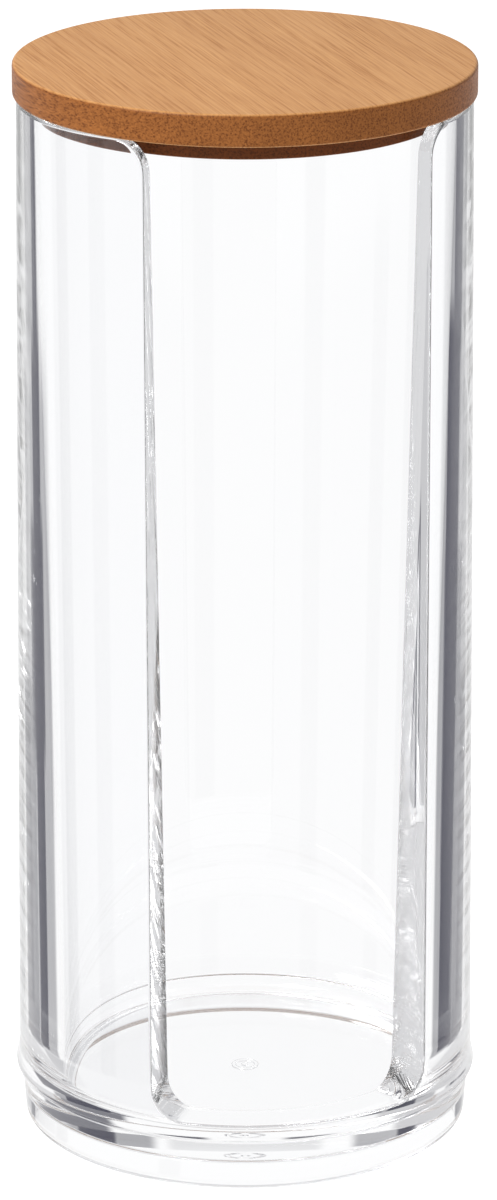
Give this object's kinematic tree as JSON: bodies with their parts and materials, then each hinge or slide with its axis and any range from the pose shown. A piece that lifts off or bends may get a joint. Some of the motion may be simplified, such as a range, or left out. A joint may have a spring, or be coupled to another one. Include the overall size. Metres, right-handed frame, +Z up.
{
  "type": "cotton pad holder",
  "caption": "Clear moulded tube for round cotton pads, with a tall front slot to take them out, a flared foot and a lift-off bamboo lid.",
  "frame": {"origin": "on the table, at the middle of the foot ring", "axes": "+Z up along the tube, -Y out through the middle of the slot, +X to the right of someone who faces the slot"},
  "size_m": [0.08, 0.08, 0.1875],
  "materials": {
    "clear_plastic": "clear polished moulding, no tint",
    "bamboo_disc": "carbonised bamboo, fine straight grain, satin lacquer",
    "bamboo_spigot": "carbonised bamboo, darker turned edge, satin lacquer"
  },
  "bodies": {
    "holder": {"holder_body": "clear_plastic"},
    "lid": {"lid_disc": "bamboo_disc", "lid_spigot": "bamboo_spigot"}
  },
  "joints": [
    {"name": "lid_lift", "type": "slide", "parent": "holder", "child": "lid", "axis": [0, 0, 1], "range_m": [0, 0.04]}
  ]
}
